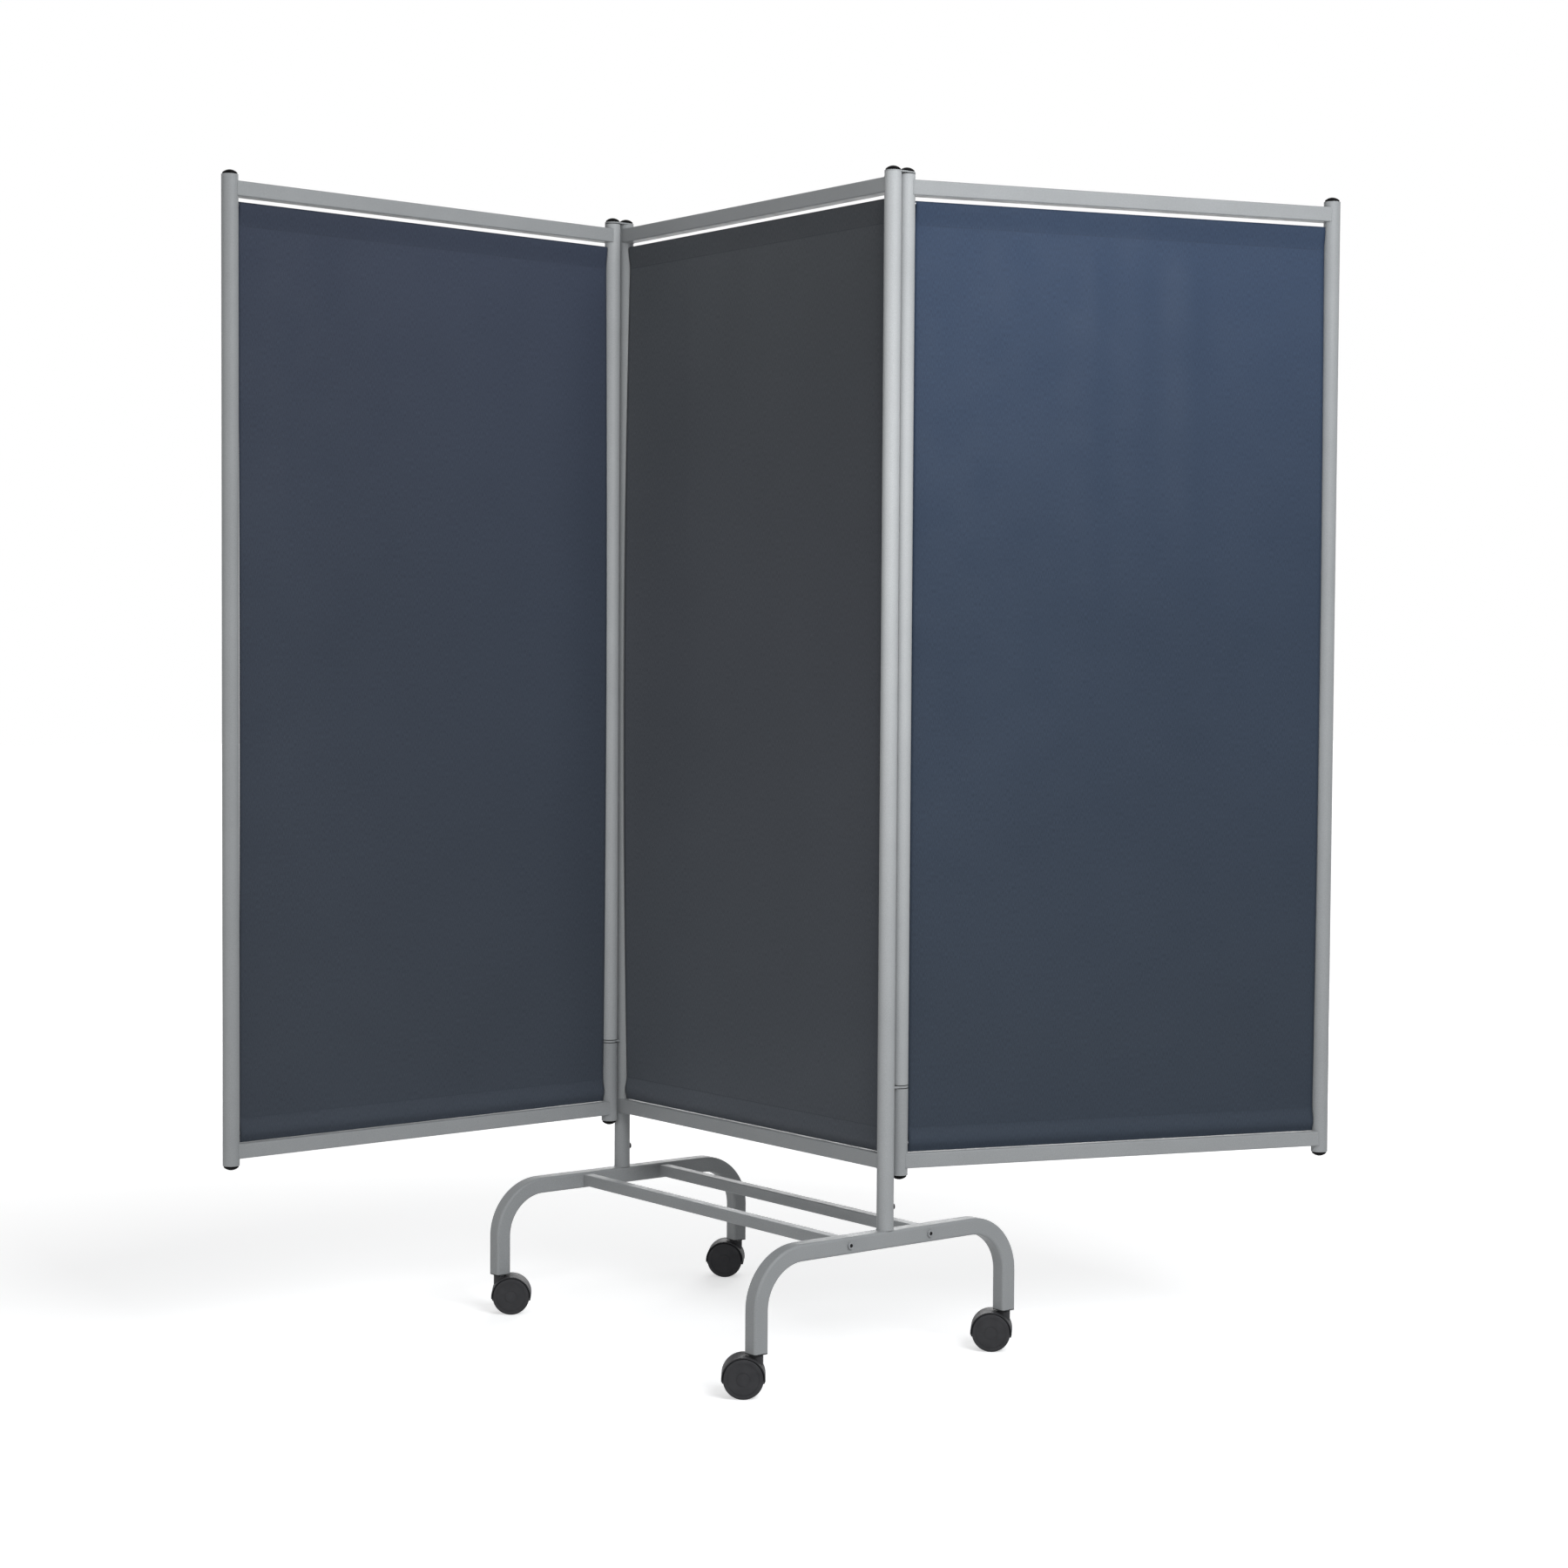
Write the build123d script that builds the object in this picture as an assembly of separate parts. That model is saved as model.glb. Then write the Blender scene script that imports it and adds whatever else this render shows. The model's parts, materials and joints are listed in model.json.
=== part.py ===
from build123d import *
from math import sqrt
import os

# Folding privacy screen on casters: one middle panel on a wheeled base, two hinged wings
# Millimetres and degrees; +Z is up and the middle panel stands in the XZ plane, its front towards -Y
# The origin is on the floor under the middle of the base

# Whole screen; the middle panel hangs a little higher on its posts than the wings
OVERALL_HEIGHT = 1750.0
MIDDLE_SPAN = 666.0
MIDDLE_LIFT = 2.0
WING_SPAN = 696.0
WING_FOOT_HEIGHT = 288.5
LEFT_WING_DIRECTION = 272.0
RIGHT_WING_DIRECTION = 71.0

# Clearances and the overrun of cuts
RUNNING_CLEARANCE = 0.05
FACE_CLEARANCE = 0.3
CLOTH_CLEARANCE = 0.4
HOLE_CLEARANCE = 0.1
CUT_OVERRUN = 2.0

# Round upright tubes
UPRIGHT_DIAMETER = 25.0
UPRIGHT_WALL = 1.5
OVERSHOOT_ABOVE_RAIL = 9.0
OVERSHOOT_BELOW_RAIL = 10.0

# Square rails of the three panels
RAIL_SIZE = 22.0
RAIL_WALL = 1.5
RAIL_CORNER = 2.0

# Caps on the open ends of the uprights, as wide as the tubes' bore
CAP_RISE = 7.0
CAP_RIM = 2.5
CAP_STEM_LENGTH = 14.0
POST_CAP_STEM_RADIUS = 8.0

# Curtains and the rods in their hems
CLOTH_THICKNESS = 0.8
CLOTH_BOW = 5.0
CLOTH_SIDE_GAP = 1.5
CLOTH_TOP_GAP = 7.0
CLOTH_FOOT_GAP = 0.8
TOP_HEM_DEPTH = 35.0
BOTTOM_HEM_DEPTH = 36.0
HEM_SEAM_DEPTH = 3.0
HEM_TIP_RADIUS = 0.2
BOTTOM_ROD_LIFT = 15.0
ROD_RADIUS = 3.0
ROD_REACH = 3.0

# Hinges between the posts and the wings
HINGE_OFFSET = 26.0
LUG_HEIGHT = 418.5
LUG_THICKNESS = 3.0
LUG_RADIUS = 11.0
LUG_WIDTH = 16.0
STRAP_THICKNESS = 2.0
PIN_RADIUS = 4.0
PIN_REACH = 16.0
PIN_HEAD_RADIUS = 7.0
PIN_HEAD_THICKNESS = 2.0
BUSH_LENGTH = 18.0
BUSH_FLANGE = 1.0

# Inverted-U legs of square tube
LEG_SIZE = 25.0
LEG_WALL = 1.5
LEG_CORNER = 4.0
LEG_CORE_CORNER = 2.5
LEG_SPREAD = 472.0
LEG_TOP_HEIGHT = 210.0
LEG_BEND_RADIUS = 75.0

# Stretchers between the legs and their bolts
STRETCHER_SIZE = 18.0
STRETCHER_WALL = 1.5
STRETCHER_CORNER = 2.0
STRETCHER_PITCH = 152.0
STRETCHER_DROP = 3.0
END_PLATE_THICKNESS = 4.0
BOLT_RADIUS = 3.0
BOLT_HEAD_RADIUS = 5.0
BOLT_HEAD_THICKNESS = 2.8
BOLT_TAIL = 5.0

# Spigots that carry the posts and the screws that hold them
SPIGOT_LENGTH = 55.0
SPIGOT_WALL = 2.5
SCREW_LIFT = 33.0
SCREW_RADIUS = 2.5
SCREW_HEAD_RADIUS = 4.75
SCREW_HEAD_THICKNESS = 2.6
SCREW_TAIL = 3.0

# Drive recess of every bolt and screw, as shares of its head
DRIVE_WIDTH_SHARE = 0.5
DRIVE_DEPTH_SHARE = 0.5
HEX_SIDES = 6

# Casters
WHEEL_RADIUS = 29.0
WHEEL_WIDTH = 13.0
WHEEL_EDGE_RADIUS = 3.0
WHEEL_HUB_RADIUS = 9.0
WHEEL_DISH_RADIUS = 23.0
WHEEL_DISH_DEPTH = 0.8
WHEEL_SIDE_GAP = 0.8
AXLE_RADIUS = 3.0
AXLE_COVER = 2.5
AXLE_END_GAP = 0.5
CASTER_TRAIL = 18.0
HOOD_WEB = 12.0
HOOD_GAP = 0.8
HOOD_WALL = 1.5
HOOD_HEIGHT = 60.0
HOOD_LIP_DROP = 3.0
HOOD_WEB_DROP = 9.0
HOOD_BOSS_RADIUS = 10.0
HOOD_BOSS_LENGTH = 14.0
KINGPIN_RADIUS = 4.0
KINGPIN_LENGTH = 20.0
KINGPIN_END_GAP = 1.0
COLLAR_RADIUS = 8.0
COLLAR_THICKNESS = 1.5
STEM_RADIUS = 5.5
STEM_LENGTH = 26.0
SOCKET_FLANGE = 1.5
SOCKET_LENGTH = 28.0

# Each caster's side in X and Y, and the direction in which its wheels trail at rest
CASTERS = {
    "front_left": (-1, -1, 55.0),
    "front_right": (1, -1, 232.0),
    "rear_left": (-1, 1, 228.0),
    "rear_right": (1, 1, 226.0),
}

# Sizes that follow from the ones above
UPRIGHT_RADIUS = UPRIGHT_DIAMETER / 2
UPRIGHT_BORE = UPRIGHT_RADIUS - UPRIGHT_WALL
STRAP_TOP = OVERALL_HEIGHT - CAP_RISE
POST_TOP = STRAP_TOP - STRAP_THICKNESS
TOP_RAIL_HEIGHT = POST_TOP - OVERSHOOT_ABOVE_RAIL - RAIL_SIZE / 2
BOTTOM_RAIL_HEIGHT = WING_FOOT_HEIGHT + OVERSHOOT_BELOW_RAIL + RAIL_SIZE / 2
CLOTH_TOP = TOP_RAIL_HEIGHT - RAIL_SIZE / 2 - CLOTH_TOP_GAP
CLOTH_FOOT = BOTTOM_RAIL_HEIGHT + RAIL_SIZE / 2 + CLOTH_FOOT_GAP
HEM_BORE = ROD_RADIUS + CLOTH_CLEARANCE
TOP_ROD_HEIGHT = CLOTH_TOP - CLOTH_THICKNESS - HEM_BORE
BOTTOM_ROD_HEIGHT = BOTTOM_RAIL_HEIGHT + RAIL_SIZE / 2 + BOTTOM_ROD_LIFT
TUBE_INSET = UPRIGHT_BORE - ROD_REACH
LUG_GAP = LUG_THICKNESS / 2 + FACE_CLEARANCE + BUSH_FLANGE
HINGE_TUBE_TOP = POST_TOP - FACE_CLEARANCE - BUSH_FLANGE
LEG_HEIGHT = LEG_TOP_HEIGHT - LEG_SIZE / 2
STRETCHER_HEIGHT = LEG_TOP_HEIGHT - STRETCHER_DROP - STRETCHER_SIZE / 2
SCREW_HEIGHT = LEG_TOP_HEIGHT + SCREW_LIFT
COLLAR_HEIGHT = HOOD_HEIGHT + FACE_CLEARANCE
SOCKET_HEIGHT = COLLAR_HEIGHT + COLLAR_THICKNESS
LEG_FOOT_HEIGHT = SOCKET_HEIGHT + SOCKET_FLANGE


def rod(radius, length, base=0.0):
    """A round bar on the Z axis that starts at the height base."""
    return Pos(0, 0, base) * Cylinder(radius, length, align=(Align.CENTER, Align.CENTER, Align.MIN))


def bar_x(radius, length):
    """A round bar along X, centred on the origin."""
    return Rot(0, 90, 0) * Cylinder(radius, length)


def ring(outer, inner, length, base=0.0):
    """A round tube on the Z axis that starts at the height base."""
    return rod(outer, length, base) - rod(inner, length + 2 * CUT_OVERRUN, base - CUT_OVERRUN)


def square_bar(size, corner, length):
    """A square bar along X with rounded edges, centred on the origin."""
    profile = Plane.YZ * RectangleRounded(size, size, corner)
    return extrude(profile, length / 2, both=True)


def square_tube(size, wall, corner, length):
    """A square tube along X, centred on the origin."""
    core = size - 2 * wall
    hollow = Plane.YZ * Rectangle(core, core)
    return square_bar(size, corner, length) - extrude(hollow, length / 2 + CUT_OVERRUN, both=True)


def both_ends(span, piece):
    """Two copies of a piece on the Z axis, one at each end of a span along X."""
    return Pos(-span / 2, 0, 0) * piece + Pos(span / 2, 0, 0) * piece


def rail(span, height):
    """A panel's rail between two uprights, its ends coped to their round walls."""
    tube = Pos(0, 0, height) * square_tube(RAIL_SIZE, RAIL_WALL, RAIL_CORNER, span)
    upright = rod(UPRIGHT_RADIUS, RAIL_SIZE + 2 * CUT_OVERRUN, height - RAIL_SIZE / 2 - CUT_OVERRUN)
    return tube - both_ends(span, upright)


def upright(foot, top, rod_heights, hole_side):
    """A round upright tube with a hole for each curtain rod in the wall that faces the panel."""
    tube = ring(UPRIGHT_RADIUS, UPRIGHT_BORE, top - foot, foot)
    drill = bar_x(ROD_RADIUS + HOLE_CLEARANCE, UPRIGHT_DIAMETER)
    for height in rod_heights:
        tube -= Pos(hole_side * UPRIGHT_DIAMETER / 2, 0, height) * drill
    return tube


def curtain_rod(span, height):
    """A rod that lies in a hem and ends inside the two uprights."""
    return Pos(0, 0, height) * bar_x(ROD_RADIUS, span - 2 * TUBE_INSET)


def disc(radius, height):
    """A round outline in the curtain's section, at a height above the floor."""
    return Pos(0, height) * Circle(radius)


def hull_face(*discs):
    """The outline that a string pulled round the given discs would have."""
    return make_hull(ShapeList([edge for one in discs for edge in one.edges()]))


def curtain(span, bow):
    """A hanging sheet with a gentle bow and a rod pocket in its top and bottom hems."""
    top_seam = CLOTH_TOP - TOP_HEM_DEPTH
    foot_seam = CLOTH_FOOT + BOTTOM_HEM_DEPTH
    outer_radius = HEM_BORE + CLOTH_THICKNESS
    top_pocket = hull_face(disc(outer_radius, TOP_ROD_HEIGHT), disc(CLOTH_THICKNESS, top_seam))
    top_pocket -= hull_face(
        disc(HEM_BORE, TOP_ROD_HEIGHT), disc(HEM_TIP_RADIUS, top_seam + HEM_SEAM_DEPTH)
    )
    foot_pocket = hull_face(
        disc(CLOTH_THICKNESS, foot_seam),
        disc(outer_radius, BOTTOM_ROD_HEIGHT),
        disc(CLOTH_THICKNESS, CLOTH_FOOT + CLOTH_THICKNESS),
    )
    foot_pocket -= hull_face(
        disc(HEM_TIP_RADIUS, foot_seam - HEM_SEAM_DEPTH),
        disc(HEM_BORE, BOTTOM_ROD_HEIGHT),
        disc(HEM_TIP_RADIUS, CLOTH_FOOT + CLOTH_THICKNESS + HEM_SEAM_DEPTH),
    )
    middle = (top_seam + foot_seam) / 2
    half = CLOTH_THICKNESS / 2
    rear = ThreePointArc((half, foot_seam), (half + bow, middle), (half, top_seam))
    front = ThreePointArc((-half, top_seam), (-half + bow, middle), (-half, foot_seam))
    lower_edge = Line((-half, foot_seam), (half, foot_seam))
    upper_edge = Line((half, top_seam), (-half, top_seam))
    sheet = make_face([lower_edge, rear, upper_edge, front])
    section = Plane.YZ * (top_pocket + foot_pocket + sheet)
    width = span - UPRIGHT_DIAMETER - 2 * CLOTH_SIDE_GAP
    return extrude(section, width / 2, both=True)


def cap(stem_radius, stem_length):
    """A domed cap on the Z axis; its rim starts at the origin and its stem points down."""
    radius = UPRIGHT_BORE
    rise = CAP_RISE - CAP_RIM
    dome_radius = (radius**2 + rise**2) / (2 * rise)
    shoulder = radius * sqrt(1 / 2)
    shoulder_height = CAP_RISE - dome_radius + sqrt(dome_radius**2 - shoulder**2)
    dome = ThreePointArc((radius, CAP_RIM), (shoulder, shoulder_height), (0, CAP_RISE))
    side = Polyline((0, CAP_RISE), (0, 0), (radius, 0), (radius, CAP_RIM))
    head = revolve(make_face(Plane.XZ * (side + dome)), Axis.Z)
    return head + rod(stem_radius, stem_length, -stem_length)


def headed_bolt(head_radius, head_thickness, radius, length):
    """A bolt along X: its head starts at the origin and stands towards +X, its shank points to -X."""
    drive = RegularPolygon(head_radius * DRIVE_WIDTH_SHARE, HEX_SIDES)
    recess = Pos(0, 0, head_thickness * (1 - DRIVE_DEPTH_SHARE)) * extrude(drive, head_thickness)
    bolt = rod(head_radius, head_thickness) - recess + rod(radius, length, -length)
    return Rot(0, 90, 0) * bolt


def leg():
    """An inverted U of square tube in the YZ plane, drilled for the stretcher bolts."""
    half = LEG_SPREAD / 2
    path = FilletPolyline(
        (0, -half, LEG_FOOT_HEIGHT),
        (0, -half, LEG_HEIGHT),
        (0, half, LEG_HEIGHT),
        (0, half, LEG_FOOT_HEIGHT),
        radius=LEG_BEND_RADIUS,
    )
    start = Plane(origin=(0, -half, LEG_FOOT_HEIGHT), z_dir=(0, 0, 1))
    core = LEG_SIZE - 2 * LEG_WALL
    tube = sweep(start * RectangleRounded(LEG_SIZE, LEG_SIZE, LEG_CORNER), path=path)
    tube -= sweep(start * RectangleRounded(core, core, LEG_CORE_CORNER), path=path)
    for side in (-1, 1):
        drill = bar_x(BOLT_RADIUS + HOLE_CLEARANCE, LEG_SIZE + 2 * CUT_OVERRUN)
        tube -= Pos(0, side * STRETCHER_PITCH / 2, STRETCHER_HEIGHT) * drill
    return tube


def stretcher():
    """A square tube between the legs, closed by a drilled plate at each end."""
    length = MIDDLE_SPAN - LEG_SIZE
    tube = square_tube(STRETCHER_SIZE, STRETCHER_WALL, STRETCHER_CORNER, length)
    core = STRETCHER_SIZE - 2 * STRETCHER_WALL
    for side in (-1, 1):
        middle = side * (length - END_PLATE_THICKNESS) / 2
        tube += Pos(middle, 0, 0) * Box(END_PLATE_THICKNESS, core, core)
    return tube - bar_x(BOLT_RADIUS, length + 2 * CUT_OVERRUN)


def stretcher_bolts():
    """The four bolts that pass through the legs into the stretchers' end plates."""
    length = LEG_SIZE + END_PLATE_THICKNESS + BOLT_TAIL
    bolt = headed_bolt(BOLT_HEAD_RADIUS, BOLT_HEAD_THICKNESS, BOLT_RADIUS, length)
    bolts = []
    for side in (-1, 1):
        outer_face = (MIDDLE_SPAN + LEG_SIZE) / 2
        turned = bolt if side > 0 else Rot(0, 0, 180) * bolt
        for across in (-1, 1):
            place = Pos(side * outer_face, across * STRETCHER_PITCH / 2, STRETCHER_HEIGHT)
            bolts.append(place * turned)
    return bolts


def post(side):
    """A post of the middle panel: it stands on its leg and takes the rods and the spigot's screw."""
    rods = (BOTTOM_ROD_HEIGHT + MIDDLE_LIFT, TOP_ROD_HEIGHT + MIDDLE_LIFT)
    tube = upright(LEG_TOP_HEIGHT, POST_TOP, rods, -side)
    drill = bar_x(SCREW_RADIUS + HOLE_CLEARANCE, UPRIGHT_DIAMETER)
    tube -= Pos(0, UPRIGHT_DIAMETER / 2, SCREW_HEIGHT) * Rot(0, 0, 90) * drill
    return Pos(side * MIDDLE_SPAN / 2, 0, 0) * tube


def post_spigots():
    """A short tube on each leg that the post slides over, tapped for its screw."""
    outer = UPRIGHT_BORE - HOLE_CLEARANCE
    spigot = ring(outer, outer - SPIGOT_WALL, SPIGOT_LENGTH, LEG_TOP_HEIGHT)
    spigot -= Pos(0, outer, SCREW_HEIGHT) * Rot(0, 0, 90) * bar_x(SCREW_RADIUS, outer)
    return [Pos(side * MIDDLE_SPAN / 2, 0, 0) * spigot for side in (-1, 1)]


def post_screws():
    """The screw on the rear side of each post."""
    length = UPRIGHT_WALL + HOLE_CLEARANCE + SPIGOT_WALL + SCREW_TAIL
    screw = headed_bolt(SCREW_HEAD_RADIUS, SCREW_HEAD_THICKNESS, SCREW_RADIUS, length)
    rear = Pos(0, UPRIGHT_RADIUS, SCREW_HEIGHT) * Rot(0, 0, 90) * screw
    return [Pos(side * MIDDLE_SPAN / 2, 0, 0) * rear for side in (-1, 1)]


def at_hinges(piece):
    """Copies of a piece at the two hinges; it is drawn round the left post, its hinge towards -Y."""
    return [
        Pos(-MIDDLE_SPAN / 2, 0, 0) * piece,
        Pos(MIDDLE_SPAN / 2, 0, 0) * Rot(0, 0, 180) * piece,
    ]


def hinge_lug():
    """The plate welded to a post that carries the wing's lower pin."""
    eye = Pos(0, -HINGE_OFFSET) * Circle(LUG_RADIUS)
    neck = Pos(0, -HINGE_OFFSET / 2) * Rectangle(LUG_WIDTH, HINGE_OFFSET)
    pin_hole = Pos(0, -HINGE_OFFSET) * Circle(PIN_RADIUS)
    outline = eye + neck - Circle(UPRIGHT_RADIUS) - pin_hole
    return Pos(0, 0, LUG_HEIGHT) * extrude(outline, LUG_THICKNESS / 2, both=True)


def hinge_strap():
    """The plate on top of a post that reaches over its wing and holds the upper pin."""
    outline = Circle(UPRIGHT_RADIUS) + Pos(0, -HINGE_OFFSET) * Circle(UPRIGHT_RADIUS)
    outline += Pos(0, -HINGE_OFFSET / 2) * Rectangle(UPRIGHT_DIAMETER, HINGE_OFFSET)
    outline -= Circle(POST_CAP_STEM_RADIUS)
    outline -= Pos(0, -HINGE_OFFSET) * Circle(PIN_RADIUS)
    return Pos(0, 0, POST_TOP) * extrude(outline, STRAP_THICKNESS)


def lower_pin():
    """The pin through the lug, which turns in a bush above and a bush below."""
    return Pos(0, -HINGE_OFFSET, 0) * rod(PIN_RADIUS, 2 * PIN_REACH, LUG_HEIGHT - PIN_REACH)


def upper_pin():
    """The headed pin that hangs from the strap into the wing's top bush."""
    length = STRAP_THICKNESS + FACE_CLEARANCE + PIN_REACH
    shank = rod(PIN_RADIUS, length, STRAP_TOP - length)
    return Pos(0, -HINGE_OFFSET, 0) * (shank + rod(PIN_HEAD_RADIUS, PIN_HEAD_THICKNESS, STRAP_TOP))


def post_cap():
    """The cap on a post, its stem through the strap."""
    return Pos(0, 0, STRAP_TOP) * cap(POST_CAP_STEM_RADIUS, CAP_STEM_LENGTH)


def hinge_cap():
    """The cap over an upper pin's head."""
    dome = cap(PIN_HEAD_RADIUS, PIN_HEAD_THICKNESS)
    hollow = rod(PIN_HEAD_RADIUS, PIN_HEAD_THICKNESS)
    below = rod(UPRIGHT_RADIUS, PIN_HEAD_THICKNESS, -PIN_HEAD_THICKNESS)
    return Pos(0, -HINGE_OFFSET, STRAP_TOP) * (dome - hollow - below)


def bush(length, flange_up):
    """A flanged bush whose flange lies against the end of a tube at the origin."""
    body = rod(UPRIGHT_BORE, length, -length) + rod(UPRIGHT_RADIUS, BUSH_FLANGE)
    bore = PIN_RADIUS + RUNNING_CLEARANCE
    whole = body - rod(bore, length + BUSH_FLANGE + 2 * CUT_OVERRUN, -length - CUT_OVERRUN)
    return whole if flange_up else Rot(180, 0, 0) * whole


def wing(bow):
    """A wing along +X with its hinge axis on the Z axis: every piece by name."""
    middle = Pos(WING_SPAN / 2, 0, 0)
    outer = Pos(WING_SPAN, 0, 0)
    end_cap = cap(UPRIGHT_BORE, CAP_STEM_LENGTH)
    foot_cap = Pos(0, 0, WING_FOOT_HEIGHT) * Rot(180, 0, 0) * end_cap
    lug_top = LUG_HEIGHT + LUG_GAP
    lug_foot = LUG_HEIGHT - LUG_GAP
    rods = (BOTTOM_ROD_HEIGHT, TOP_ROD_HEIGHT)
    return {
        "outer_upright": [outer * upright(WING_FOOT_HEIGHT, POST_TOP, rods, -1)],
        "lower_hinge_tube": [upright(WING_FOOT_HEIGHT, lug_foot, rods[:1], 1)],
        "upper_hinge_tube": [upright(lug_top, HINGE_TUBE_TOP, rods[1:], 1)],
        "top_rail": [middle * rail(WING_SPAN, TOP_RAIL_HEIGHT)],
        "bottom_rail": [middle * rail(WING_SPAN, BOTTOM_RAIL_HEIGHT)],
        "curtain": [middle * curtain(WING_SPAN, bow)],
        "top_rod": [middle * curtain_rod(WING_SPAN, TOP_ROD_HEIGHT)],
        "bottom_rod": [middle * curtain_rod(WING_SPAN, BOTTOM_ROD_HEIGHT)],
        "hinge_bushes": [
            Pos(0, 0, lug_foot) * bush(BUSH_LENGTH, True),
            Pos(0, 0, lug_top) * bush(BUSH_LENGTH, False),
            Pos(0, 0, HINGE_TUBE_TOP) * bush(BUSH_LENGTH, True),
        ],
        "end_caps": [foot_cap, outer * foot_cap, outer * Pos(0, 0, POST_TOP) * end_cap],
    }


def caster_hood():
    """The swivelling body of a twin-wheel caster; its wheels trail towards +X."""
    inner_radius = WHEEL_RADIUS + HOOD_GAP
    outer_radius = inner_radius + HOOD_WALL
    half_width = HOOD_WEB / 2 + WHEEL_SIDE_GAP + WHEEL_WIDTH
    axle = Pos(CASTER_TRAIL, 0, WHEEL_RADIUS)
    turn = Rot(90, 0, 0)
    wheel_room = turn * Cylinder(inner_radius, 2 * half_width)
    web_room = turn * Cylinder(inner_radius, HOOD_WEB)
    shell = turn * Cylinder(outer_radius, 2 * half_width) - wheel_room
    web = turn * Cylinder(outer_radius, HOOD_WEB)
    block = Box(2 * outer_radius, 2 * half_width, 2 * outer_radius)
    above_lip = Pos(0, 0, outer_radius - HOOD_LIP_DROP) * block
    above_web = Pos(0, 0, outer_radius - HOOD_WEB_DROP) * block
    boss = rod(HOOD_BOSS_RADIUS, HOOD_BOSS_LENGTH, HOOD_HEIGHT - HOOD_BOSS_LENGTH)
    body = axle * ((shell & above_lip) + (web & above_web))
    body += boss - axle * (wheel_room - web_room)
    depth = KINGPIN_LENGTH + KINGPIN_END_GAP
    body -= rod(KINGPIN_RADIUS + RUNNING_CLEARANCE, depth + CUT_OVERRUN, HOOD_HEIGHT - depth)
    return body - axle * turn * Cylinder(AXLE_RADIUS, 2 * HOOD_WEB)


def caster_wheel(side):
    """One wheel of a caster: dished on its outer face, its running bore closed there."""
    tread = fillet(Cylinder(WHEEL_RADIUS, WHEEL_WIDTH).edges(), WHEEL_EDGE_RADIUS)
    dish_floor = WHEEL_WIDTH / 2 - WHEEL_DISH_DEPTH
    dish = ring(WHEEL_DISH_RADIUS, WHEEL_HUB_RADIUS, WHEEL_WIDTH, dish_floor)
    bore_end = WHEEL_WIDTH / 2 - AXLE_COVER
    bore_start = -WHEEL_WIDTH / 2 - CUT_OVERRUN
    bore = rod(AXLE_RADIUS + RUNNING_CLEARANCE, bore_end - bore_start, bore_start)
    offset = HOOD_WEB / 2 + WHEEL_SIDE_GAP + WHEEL_WIDTH / 2
    place = Pos(CASTER_TRAIL, side * offset, WHEEL_RADIUS) * Rot(-side * 90, 0, 0)
    return place * (tread - dish - bore)


def caster_axle():
    """The pin through the hood's web that carries both wheels."""
    reach = WHEEL_SIDE_GAP + WHEEL_WIDTH - AXLE_COVER - AXLE_END_GAP
    length = HOOD_WEB + 2 * reach
    return Pos(CASTER_TRAIL, 0, WHEEL_RADIUS) * Rot(90, 0, 0) * Cylinder(AXLE_RADIUS, length)


def caster_stem():
    """The steel stem that holds a caster: pressed into the socket, turning in the hood."""
    kingpin = rod(KINGPIN_RADIUS, KINGPIN_LENGTH, COLLAR_HEIGHT - KINGPIN_LENGTH)
    collar = rod(COLLAR_RADIUS, COLLAR_THICKNESS, COLLAR_HEIGHT)
    return kingpin + collar + rod(STEM_RADIUS, STEM_LENGTH, SOCKET_HEIGHT)


def caster_socket():
    """The plastic insert in the end of a leg that grips a stem."""
    core = LEG_SIZE - 2 * LEG_WALL
    outline = RectangleRounded(LEG_SIZE, LEG_SIZE, LEG_CORNER)
    plug = RectangleRounded(core, core, LEG_CORE_CORNER)
    flange = Pos(0, 0, SOCKET_HEIGHT) * extrude(outline, SOCKET_FLANGE)
    body = Pos(0, 0, LEG_FOOT_HEIGHT) * extrude(plug, SOCKET_LENGTH)
    bore = rod(STEM_RADIUS, STEM_LENGTH + CUT_OVERRUN, SOCKET_HEIGHT - CUT_OVERRUN)
    return flange + body - bore


def caster_place(side_x, side_y):
    """The place of a leg's foot on the floor."""
    return Pos(side_x * MIDDLE_SPAN / 2, side_y * LEG_SPREAD / 2, 0)


def at_feet(piece):
    """Copies of a piece at the four feet."""
    return [caster_place(side_x, side_y) * piece for side_x, side_y, heading in CASTERS.values()]


def save(name, solids):
    """Write a node's solids as one STEP file."""
    shape = solids[0] if len(solids) == 1 else Compound(children=solids)
    export_step(shape, f"parts/{name}.step")


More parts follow.
